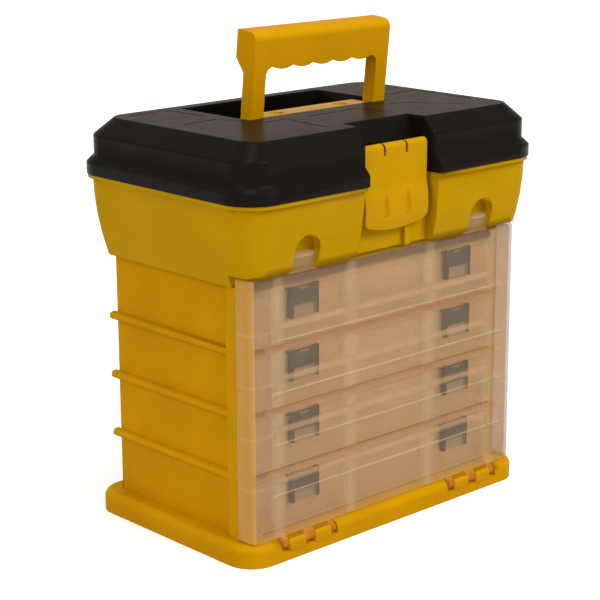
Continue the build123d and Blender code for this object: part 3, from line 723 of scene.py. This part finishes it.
@dataclass(frozen=True)
class SeeThroughPlastic:
    """Thin moulded plastic that shows what lies behind it.

    Args:
        name: Material name.
        colour: Display colour of the haze.
        roughness: Mean roughness.
        shine: Reflection level.
        haze: Share of the surface that hides what lies behind.
        haze_spread: How much the haze varies over the surface.
        edge: Reach of the haze beside an edge in metres.
        edge_haze: Haze at the edges.
        edge_highlight: Factor by which the edges and the ridge lips are painted lighter, as a
            highlight.
        cloud_size: Size of the haze's clouds in metres.
        cloud_limits: Noise levels at the least and at the most haze.
        rough_spread: How much the roughness varies with the clouds.
        dust: Haze of the specks that cling to the surface.
        dust_spacing: Mean distance between specks in metres.
        dust_radius: Radius of a speck in metres.
        ripple: Size of the surface's slow ripples in metres.
        ripple_height: Height of the ripples in metres.
        ripple_spread: Stretch of the ripples on each axis.
        wrap_colour: Display colour of the haze far from the middle plane, or None.
        wrap_haze: Haze there.
        wrap_from: Distance from the middle plane where that haze begins, in metres.
        wrap_soft: Width of its soft edge in metres.
        wrap_line: Share of that colour that a ridge's line takes away.
        marks: Ridges, pads and tongues of the door, or None.
    """

    name: str
    colour: Colour
    roughness: float
    shine: float
    haze: float
    haze_spread: float
    edge: float
    edge_haze: float
    edge_highlight: float = 1.12
    cloud_size: float = 60 * MM
    cloud_limits: Span = (0.3, 0.7)
    rough_spread: float = 0.08
    dust: float = 0.0
    dust_spacing: float = 12 * MM
    dust_radius: float = 0.3 * MM
    ripple: float = 20 * MM
    ripple_height: float = 0.08 * MM
    ripple_spread: Triple = (1.0, 1.0, 0.6)
    wrap_colour: Colour | None = None
    wrap_haze: float = 0.0
    wrap_from: float = 0.0
    wrap_soft: float = 1.0 * MM
    wrap_line: float = 0.35
    marks: DoorMarks | None = None

    def build(self) -> bpy.types.Material:
        """Make the material.

        Returns:
            The material.
        """
        material = bpy.data.materials.new(self.name)
        tree = ShaderTree(material)
        cloud = tree.patches(self.cloud_size, self.cloud_limits)
        haze = self.haze - self.haze_spread / 2 + cloud * self.haze_spread
        edges = tree.near_edge(tree.rounded(self.edge))
        haze = haze.larger(tree.specks(self.dust_spacing, self.dust_radius) * self.dust)
        haze = haze.larger(edges * self.edge_haze)
        # Painted highlight: the edges and the ridge lips take a lighter colour.
        highlight_colour = rgba(shaded(self.colour, self.edge_highlight))
        colour = tree.mixed(edges, rgba(self.colour), highlight_colour)
        wraps = tree.stepped(tree.off_centre(), self.wrap_from, self.wrap_from + self.wrap_soft)
        wrap_share = wraps
        if self.marks:
            lines = self.marks.lines(tree)
            haze, colour = self.marks.marked(tree, haze, colour, lines, highlight_colour)
            wrap_share = wraps * (1.0 - lines * self.wrap_line)
        if self.wrap_colour:
            haze = haze.larger(wraps * self.wrap_haze)
            colour = tree.mixed(wrap_share, colour, rgba(self.wrap_colour))
        ripples = tree.noise(self.ripple, self.ripple_spread)
        tree.surface(
            {
                "Base Color": colour,
                "Roughness": self.roughness - self.rough_spread / 2 + cloud * self.rough_spread,
                "Specular IOR Level": self.shine,
                "Alpha": haze,
                "Normal": tree.bump(ripples, self.ripple_height),
            }
        )
        return material


@dataclass(frozen=True)
class DrawnSteel:
    """Bright drawn wire for hinge pins.

    Args:
        name: Material name.
        colour: Display colour.
        roughness: Least roughness.
        streaks: How much the drawing streaks add to the roughness.
        streak: Size of a streak in metres.
        streak_spread: Stretch of the streaks on each axis.
    """

    name: str
    colour: Colour
    roughness: float = 0.22
    streaks: float = 0.2
    streak: float = 0.8 * MM
    streak_spread: Triple = (0.1, 1.0, 1.0)

    def build(self) -> bpy.types.Material:
        """Make the material.

        Returns:
            The material.
        """
        material = bpy.data.materials.new(self.name)
        tree = ShaderTree(material)
        drawn = tree.noise(self.streak, self.streak_spread)
        tree.surface(
            {
                "Base Color": rgba(self.colour),
                "Metallic": 1.0,
                "Roughness": self.roughness + drawn * self.streaks,
            }
        )
        return material


class Finish(Enum):
    """Finishes of this box, by the moulding they belong to."""

    RACK = MouldedPlastic("rack_yellow", (197, 141, 2), roughness=0.48, shine=0.015)
    BIN = MouldedPlastic("bin_yellow", (186, 141, 2), roughness=0.46, shine=0.015)
    LATCH = MouldedPlastic("latch_yellow", (190, 141, 3), roughness=0.44, shine=0.02)
    STRIP = MouldedPlastic("strip_yellow", (200, 148, 10), roughness=0.40, shine=0.16)
    LID = MouldedPlastic(
        "lid_black",
        (20, 18, 14),
        roughness=0.34,
        shine=0.05,
        grain=1.1 * MM,
        grain_height=0.06 * MM,
        edge=2.0 * MM,
        # Painted highlight along the lid's edges.
        edge_highlight=0.30,
        clouds=0.02,
        scuff=0.04,
        # Painted reflection: warm surroundings tinted into the lid's reflections.
        tint=(1.0, 0.86, 0.70),
    )
    CLASP = MouldedPlastic(
        "clasp_black",
        (22, 23, 24),
        roughness=0.42,
        shine=0.08,
        edge=0.3 * MM,
        edge_highlight=0.2,
        windows=ShadedClaspWindows(),
    )
    PIN = DrawnSteel("pin_steel", (200, 200, 200))
    DOOR = SeeThroughPlastic(
        "door_milky",
        (222, 198, 162),
        roughness=0.42,
        shine=0.04,
        haze=0.10,
        haze_spread=0.02,
        edge=0.9 * MM,
        edge_haze=0.2,
        dust=0.4,
        wrap_colour=(214, 164, 84),
        wrap_haze=0.66,
        wrap_from=123.8 * MM,
        marks=DoorMarks(),
    )
    TRAY = SeeThroughPlastic(
        "tray_milky",
        (242, 194, 134),
        roughness=0.30,
        shine=0.04,
        haze=0.32,
        haze_spread=0.04,
        edge=0.6 * MM,
        edge_haze=0.34,
    )
    CLEAR = SeeThroughPlastic(
        "clear_moulding",
        (242, 190, 128),
        roughness=0.25,
        shine=0.04,
        haze=0.28,
        haze_spread=0.02,
        edge=0.6 * MM,
        edge_haze=0.30,
    )


class GeometryTree(NodeTree):
    """Geometry Nodes tree that is run once on a start mesh."""

    def __init__(self, name: str) -> None:
        """Start an empty tree.

        Args:
            name: Tree name.
        """
        self.group = bpy.data.node_groups.new(name, "GeometryNodeTree")
        super().__init__(self.group)
        for way in ("INPUT", "OUTPUT"):
            self.socket("Geometry", "NodeSocketGeometry", way)
        self.start = self.node("NodeGroupInput")

    def socket(self, name: str, kind: str, way: str = "INPUT") -> None:
        """Add a named input or output."""
        self.group.interface.new_socket(name, in_out=way, socket_type=kind)

    def sizes(self, *names: str) -> None:
        """Add named length inputs."""
        for name in names:
            self.socket(name, "NodeSocketFloat")

    def given(self, name: str) -> bpy.types.NodeSocket:
        """Output socket of a named input."""
        return self.start.outputs[name]

    def close(self, geometry: bpy.types.NodeSocket, material: bpy.types.Material) -> None:
        """End the tree in real, dressed geometry.

        Args:
            geometry: Socket with the finished geometry.
            material: Material of all faces.
        """
        real = self.node("GeometryNodeRealizeInstances", {}, {0: geometry}).outputs[0]
        inputs = {"Geometry": real, "Material": material}
        dressed = self.node("GeometryNodeSetMaterial", {}, inputs).outputs[0]
        self.node("NodeGroupOutput", {}, {0: dressed})

    def run(self, name: str, start: bpy.types.Mesh, values: dict[str, float]) -> bpy.types.Object:
        """Run the tree on a mesh.

        Args:
            name: Name of the new object.
            start: Mesh that the tree starts from.
            values: Value of each named input.

        Returns:
            Linked object with a plain mesh.
        """
        piece = bpy.data.objects.new(name, start)
        bpy.context.scene.collection.objects.link(piece)
        modifier = piece.modifiers.new("nodes", "NODES")
        modifier.node_group = self.group
        for item in self.group.interface.items_tree:
            if item.in_out == "INPUT" and item.name in values:
                modifier[item.identifier] = values[item.name]
        bake_modifiers(piece)
        return piece


def bake_modifiers(piece: bpy.types.Object) -> None:
    """Turn a piece's modifiers into its mesh.

    Args:
        piece: Linked object.
    """
    graph = bpy.context.evaluated_depsgraph_get()
    graph.update()
    source = piece.evaluated_get(graph)
    mesh = bpy.data.meshes.new_from_object(source, preserve_all_data_layers=True, depsgraph=graph)
    piece.modifiers.clear()
    piece.data = mesh
    mesh.name = piece.name


@dataclass(frozen=True)
class Rounding:
    """Edges that the mould rounds off.

    Args:
        width: How far the rounding reaches from the edge, in metres.
        segments: Faces across the rounding.
        test: Says from an edge's two ends whether it is rounded.
    """

    width: float
    segments: int
    test: EdgeTest


def level(height: float, reach: float = 0.05 * MM) -> EdgeTest:
    """Test for edges that lie at one height.

    Args:
        height: Height in metres.
        reach: Allowed distance from it.

    Returns:
        The test.
    """
    return lambda first, second: max(abs(first.z - height), abs(second.z - height)) < reach


class Shop:
    """Makes finished pieces from the solids and keeps the materials."""

    def __init__(self) -> None:
        """Make every finish and note the slot and body of each node."""
        self.materials = {finish: finish.value.build() for finish in Finish}
        rows = frame["record"]["subparts"]
        self.slots = {row["node"]: Slot(row["material_slot"]) for row in rows}
        bodies = frame["record"]["behaviour"]["bodies"]
        self.bodies = {node: body for body, nodes in bodies.items() for node in nodes}

    def piece(
        self,
        node: str,
        finish: Finish,
        roundings: tuple[Rounding, ...] = (),
        cutters: tuple[bpy.types.Object, ...] = (),
    ) -> None:
        """Make a merged, eased and dressed piece that stands for a CAD node.

        Args:
            node: CAD node.
            finish: Finish of the piece.
            roundings: Edges to round.
            cutters: Objects whose volume is cut out; they are removed.
        """
        mesh = bpy.data.meshes.new(node + "_moulding")
        work = bmesh.new()
        work.from_mesh(frame["nodes"][node].data)
        bmesh.ops.remove_doubles(work, verts=work.verts, dist=MERGE_DISTANCE)
        bmesh.ops.dissolve_limit(work, angle_limit=FLAT_ANGLE, verts=work.verts, edges=work.edges)
        for rounding in roundings:
            self._round(work, rounding)
        work.to_mesh(mesh)
        work.free()
        piece = bpy.data.objects.new(node + "_moulding", mesh)
        bpy.context.scene.collection.objects.link(piece)
        for cutter in cutters:
            cut = piece.modifiers.new("cut", "BOOLEAN")
            cut.operation = "DIFFERENCE"
            cut.solver = "EXACT"
            cut.object = cutter
        if cutters:
            bake_modifiers(piece)
        for cutter in cutters:
            bpy.data.objects.remove(cutter)
        self._smooth(piece)
        piece.data.materials.clear()
        piece.data.materials.append(self.materials[finish])
        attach(piece, self.bodies[node])
        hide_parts(node)
        LOG.info("%s: %d faces", piece.name, len(piece.data.polygons))

    @staticmethod
    def _round(work: bmesh.types.BMesh, rounding: Rounding) -> None:
        """Round the edges that a test picks.

        Args:
            work: Mesh being edited.
            rounding: Edges and their rounding.
        """
        edges = [
            edge
            for edge in work.edges
            if edge.calc_face_angle(0.0) > ROUNDED_ANGLE
            and rounding.test(*(vertex.co for vertex in edge.verts))
        ]
        bmesh.ops.bevel(
            work,
            geom=edges,
            offset=rounding.width,
            offset_type="OFFSET",
            segments=rounding.segments,
            profile=0.5,
            affect="EDGES",
            clamp_overlap=True,
            loop_slide=True,
        )

    @staticmethod
    def _smooth(piece: bpy.types.Object) -> None:
        """Shade curved faces smoothly and keep flat faces flat.

        Args:
            piece: Object to shade.
        """
        mesh = piece.data
        mesh.polygons.foreach_set("use_smooth", [True] * len(mesh.polygons))
        mesh.set_sharp_from_angle(angle=CREASE_ANGLE)
        weigh = piece.modifiers.new("weigh", "WEIGHTED_NORMAL")
        weigh.keep_sharp = True
        bake_modifiers(piece)


@dataclass
class Rack:
    """Yellow rack: foot, two side panels and the back panel.

    Args:
        shop: Maker of the pieces.
    """

    shop: Shop

    def build(self) -> None:
        """Make the four mouldings."""
        for node in ("base_plinth", "side_panel_left", "side_panel_right", "back_panel"):
            self.shop.piece(node, Finish.RACK)


@dataclass
class TopBin:
    """Flared yellow bin and its two hinge pins.

    Args:
        shop: Maker of the pieces.
    """

    shop: Shop

    def build(self) -> None:
        """Make the tub and the pins."""
        self.shop.piece("top_bin", Finish.BIN)
        for side in ("left", "right"):
            self.shop.piece(f"lid_hinge_pin_{side}", Finish.PIN)


@dataclass
class Lid:
    """Black lid with soft shoulders and engraved lines, and the strip on it.

    Args:
        shop: Maker of the pieces.
        top: Height of the lid's top face in metres.
        shoulder: Height of the lower edge of the bevel in metres.
        shoulder_round: Rounding of both edges of the bevel in metres.
        round_faces: Faces across that rounding.
        well: Half size of the area inside whose edges stay crisp, in metres.
        line_width: Width of an engraved line in metres.
        line_depth: Depth of an engraved line in metres.
        line_turn: Radius at which an engraved line turns, in metres.
        turn_points: Points along such a turn.
        lines: Corners of the engraved lines, seen from above, in millimetres.
    """

    shop: Shop
    top: float = 281.5 * MM
    shoulder: float = 270.0 * MM
    shoulder_round: float = 2.6 * MM
    round_faces: int = 4
    well: Span = (80 * MM, 60 * MM)
    line_width: float = 1.1 * MM
    line_depth: float = 0.8 * MM
    line_turn: float = 2.0 * MM
    turn_points: int = 4
    lines: tuple[tuple[Span, ...], ...] = (
        ((-111, 61), (-82, 63), (-76, 54), (-75, 25)),
        ((-108, 7), (-80, 10), (-70, -6)),
        ((-63, -23), (-43, -22), (-48, -66)),
        ((-27, -25), (24, -22), (29, -48)),
        ((51, -23), (66, -26), (94, -64)),
        ((83, 8), (109, 11), (116, 6), (113, -47)),
        ((111, 36), (114, 26)),
    )

    def build(self) -> None:
        """Make the lid, its strip and the latch's pin."""
        roundings = tuple(
            Rounding(self.shoulder_round, self.round_faces, self._rim(height))
            for height in (self.top, self.shoulder)
        )
        self.shop.piece("lid", Finish.LID, roundings, (self._engraving(),))
        self.shop.piece("handle_retainer", Finish.STRIP)
        self.shop.piece("latch_pin", Finish.PIN)

    def _rim(self, height: float) -> EdgeTest:
        """Test for the edges of the lid's outline at one height."""
        at_height = level(height)
        return lambda first, second: at_height(first, second) and self._outer(first, second)

    def _outer(self, first: Vector, second: Vector) -> bool:
        """True for an edge on the lid's outline."""
        half_x, half_y = self.well
        return all(abs(end.x) > half_x or abs(end.y) > half_y for end in (first, second))

    def _engraving(self) -> bpy.types.Object:
        """Make the cutter of all engraved lines.

        Returns:
            Object to cut out of the lid.
        """
        points, edges = [], []
        for line in self.lines:
            first = len(points)
            points += [(x * MM, y * MM, self.top) for x, y in line]
            edges += [(first + i, first + i + 1) for i in range(len(line) - 1)]
        start = bpy.data.meshes.new("engraving")
        start.from_pydata(points, edges, [])
        tree = GeometryTree("engraved_lines")
        tree.sizes("Width", "Depth", "Turn")
        path = tree.node("GeometryNodeMeshToCurve", {}, {0: tree.given("Geometry")}).outputs[0]
        turns = {
            "Curve": path,
            "Count": self.turn_points,
            "Radius": tree.given("Turn"),
            "Limit Radius": True,
        }
        path = tree.node("GeometryNodeFilletCurve", {"mode": "POLY"}, turns).outputs[0]
        path = tree.node("GeometryNodeSetCurveNormal", {"mode": "Z_UP"}, {0: path}).outputs[0]
        section = {"Width": tree.given("Width"), "Height": tree.given("Depth")}
        kind = "GeometryNodeCurvePrimitiveQuadrilateral"
        profile = tree.node(kind, {"mode": "RECTANGLE"}, section).outputs[0]
        sweep = {"Curve": path, "Profile Curve": profile, "Fill Caps": True}
        swept = tree.node("GeometryNodeCurveToMesh", {}, sweep).outputs[0]
        tree.close(swept, self.shop.materials[Finish.LID])
        values = {"Width": self.line_width, "Depth": 2 * self.line_depth, "Turn": self.line_turn}
        return tree.run("engraving", start, values)


@dataclass
class CarryHandle:
    """Folding bail handle with a lobed grip.

    Args:
        shop: Maker of the pieces.
    """

    shop: Shop

    def build(self) -> None:
        """Make the handle."""
        self.shop.piece("carry_handle", Finish.RACK)


@dataclass
class LidLatch:
    """Broad front latch with two soft upright hollows.

    Args:
        shop: Maker of the pieces.
        hollow_place: Distance of a hollow from the middle plane in metres.
        hollow_centre: Middle of a hollow's cutter along Y and Z in metres.
        hollow_reach: Half sizes of that cutter in metres.
        hollow_faces: Faces round the cutter and from end to end.
    """

    shop: Shop
    hollow_place: float = 10.7 * MM
    hollow_centre: Span = (-86.2 * MM, 227.0 * MM)
    hollow_reach: Triple = (3.2 * MM, 4.0 * MM, 12.5 * MM)
    hollow_faces: tuple[int, int] = (24, 20)

    def build(self) -> None:
        """Make the latch."""
        hollows = (self._hollow(-self.hollow_place), self._hollow(self.hollow_place))
        self.shop.piece("latch", Finish.LATCH, (), hollows)

    def _hollow(self, place: float) -> bpy.types.Object:
        """Make the cutter of one hollow.

        Args:
            place: Place of the hollow along X in metres.

        Returns:
            Object to cut out of the latch.
        """
        mesh = bpy.data.meshes.new("hollow")
        work = bmesh.new()
        shift = Matrix.Translation((place, *self.hollow_centre))
        bmesh.ops.create_uvsphere(
            work,
            u_segments=self.hollow_faces[0],
            v_segments=self.hollow_faces[1],
            radius=1.0,
            matrix=shift @ Matrix.Diagonal((*self.hollow_reach, 1.0)),
        )
        work.to_mesh(mesh)
        work.free()
        hollow = bpy.data.objects.new("hollow", mesh)
        bpy.context.scene.collection.objects.link(hollow)
        return hollow


@dataclass
class FrontDoor:
    """Milky drop-down door.

    Args:
        shop: Maker of the pieces.
    """

    shop: Shop

    def build(self) -> None:
        """Make the door."""
        self.shop.piece("front_door", Finish.DOOR)


@dataclass
class OrganiserBox:
    """One see-through organiser box with its lid, dividers and two clasps.

    Args:
        shop: Maker of the pieces.
        number: Place in the rack, counted from below.
    """

    shop: Shop
    number: int

    def build(self) -> None:
        """Make the box's five pieces."""
        self.shop.piece(f"box_{self.number}_tray", Finish.TRAY)
        for part in ("lid", "dividers"):
            self.shop.piece(f"box_{self.number}_{part}", Finish.CLEAR)
        for side in ("left", "right"):
            self.shop.piece(f"box_{self.number}_latch_{side}", Finish.CLASP)


@dataclass
class Camera:
    """The photograph's view.

    Args:
        place: Camera position in metres.
        yaw: Angle to the right of the Y axis in degrees.
        pitch: Angle below level in degrees.
        roll: Turn about the view line in degrees.
        focal_pixels: Focal length in pixels of the photograph.
        image_pixels: Width of the photograph in pixels.
        sensor: Width of the sensor in millimetres.
        reach: Nearest and farthest distance that is seen, in metres.
    """

    place: Triple = (-0.8457, -0.8969, 0.4721)
    yaw: float = 42.933
    pitch: float = 14.902
    roll: float = -0.243
    focal_pixels: float = 1788.7
    image_pixels: float = 600.0
    sensor: float = 36.0
    reach: Span = (0.01, 50.0)

    def build(self) -> None:
        """Add the camera and make it the scene's."""
        data = bpy.data.cameras.new("view")
        data.sensor_width = self.sensor
        data.lens = self.focal_pixels / self.image_pixels * self.sensor
        data.clip_start, data.clip_end = self.reach
        camera = bpy.data.objects.new("view", data)
        turn = (
            Matrix.Rotation(math.radians(-self.yaw), 4, "Z")
            @ Matrix.Rotation(math.radians(90.0 - self.pitch), 4, "X")
            @ Matrix.Rotation(math.radians(self.roll), 4, "Z")
        )
        camera.matrix_world = Matrix.Translation(self.place) @ turn
        bpy.context.scene.collection.objects.link(camera)
        bpy.context.scene.camera = camera


@dataclass(frozen=True)
class Lamp:
    """One soft area lamp.

    Args:
        name: Lamp name.
        place: Position in metres.
        size: Side of the square lamp in metres.
        power: Power in watts.
    """

    name: str
    place: Triple
    size: float
    power: float

    def build(self, target: Vector) -> None:
        """Add the lamp, turned to a point.

        Args:
            target: Point that the lamp shines at.
        """
        data = bpy.data.lights.new(self.name, "AREA")
        data.shape = "SQUARE"
        data.size = self.size
        data.energy = self.power
        lamp = bpy.data.objects.new(self.name, data)
        turn = (target - Vector(self.place)).to_track_quat("-Z", "Y")
        lamp.matrix_world = Matrix.Translation(self.place) @ turn.to_matrix().to_4x4()
        bpy.context.scene.collection.objects.link(lamp)


@dataclass
class Studio:
    """Pale floor, white surroundings and soft lamps.

    Args:
        floor_half: Half of the floor's side in metres.
        floor_grey: Share of light that the floor sends back to the object.
        floor_white: The same share where the floor is seen.
        floor_glow: Light that the floor adds near the object where it is seen.
        far_glow: Light that it adds besides, far from the object.
        far_area: Squared distances where that light begins and is full, in square metres.
        fill: Strength of the even light from all round.
        mirrored: Colour of the surroundings in reflections, 0 to 1.
        lamps: The area lamps.
    """

    floor_half: float = 6.0
    floor_grey: float = 0.6
    floor_white: float = 0.93
    floor_glow: float = 0.28
    far_glow: float = 0.4
    far_area: Span = (0.3, 3.0)
    fill: float = 0.66
    mirrored: Colour = (0.62, 0.53, 0.45)
    lamps: list[Lamp] = field(
        default_factory=lambda: [
            Lamp("key", (0.7, -2.0, 2.1), 1.3, 45.0),
            Lamp("side", (-2.4, -0.4, 1.5), 1.6, 18.0),
            Lamp("top", (-0.5, -0.22, 2.8), 0.8, 13.0),
        ]
    )

    def build(self) -> None:
        """Add floor, world and lamps."""
        self._world()
        self._floor()
        low, high = CAD_BOX
        middle = (Vector(low) + Vector(high)) / 2
        for lamp in self.lamps:
            lamp.build(middle)

    @staticmethod
    def _seen(tree: ShaderTree) -> Value:
        """1 for camera, glossy and transmission rays, otherwise 0.

        Args:
            tree: Tree of the world or of a material.

        Returns:
            The mask as a Value.
        """
        path = tree.node("ShaderNodeLightPath").outputs
        seen = Value(tree, path["Is Camera Ray"])
        seen = seen.larger(Value(tree, path["Is Glossy Ray"]))
        return seen.larger(Value(tree, path["Is Transmission Ray"]))

    def _world(self) -> None:
        """Even light, with white where it is seen directly."""
        world = bpy.data.worlds.new("studio")
        bpy.context.scene.world = world
        tree = ShaderTree(world)
        strength = self.fill + self._seen(tree) * (1.0 - self.fill)
        glossy = Value(tree, tree.node("ShaderNodeLightPath").outputs["Is Glossy Ray"])
        colour = tree.mixed(glossy, (*EVEN, 1.0), (*self.mirrored, 1.0))
        light = tree.node("ShaderNodeBackground", {}, {"Color": colour, "Strength": strength})
        tree.node("ShaderNodeOutputWorld", {}, {0: light.outputs[0]})

    def _floor(self) -> None:
        """White floor that keeps the object's shadow."""
        half = self.floor_half
        mesh = bpy.data.meshes.new("floor")
        corners = [(-half, -half, 0.0), (half, -half, 0.0), (half, half, 0.0), (-half, half, 0.0)]
        mesh.from_pydata(corners, [], [(0, 1, 2, 3)])
        floor = bpy.data.objects.new("floor", mesh)
        material = bpy.data.materials.new("floor_paper")
        tree = ShaderTree(material)
        seen = self._seen(tree)
        grey, white = ((share, share, share, 1.0) for share in (self.floor_grey, self.floor_white))
        colour = tree.mixed(seen, grey, white)
        paper = tree.node("ShaderNodeBsdfDiffuse", {}, {"Color": colour})
        away = tree.along(0) * tree.along(0) + tree.along(1) * tree.along(1)
        strength = self.floor_glow + tree.stepped(away, *self.far_area) * self.far_glow
        glow = tree.node("ShaderNodeEmission", {}, {"Strength": seen * strength})
        both = tree.node("ShaderNodeAddShader", {}, {0: paper.outputs[0], 1: glow.outputs[0]})
        tree.node("ShaderNodeOutputMaterial", {}, {0: both.outputs[0]})
        mesh.materials.append(material)
        bpy.context.scene.collection.objects.link(floor)


def main() -> None:
    """Build the whole scene."""
    logging.basicConfig(level=logging.INFO, format="%(name)s: %(message)s")
    scene = bpy.context.scene
    scene.view_settings.view_transform = "Standard"
    scene.cycles.transparent_max_bounces = CLEAR_LAYERS
    Camera().build()
    Studio().build()
    shop = Shop()
    for unit in (Rack, TopBin, Lid, CarryHandle, LidLatch, FrontDoor):
        unit(shop).build()
    for number in range(1, BOX_COUNT + 1):
        OrganiserBox(shop, number).build()


if __name__ == "__main__":
    main()
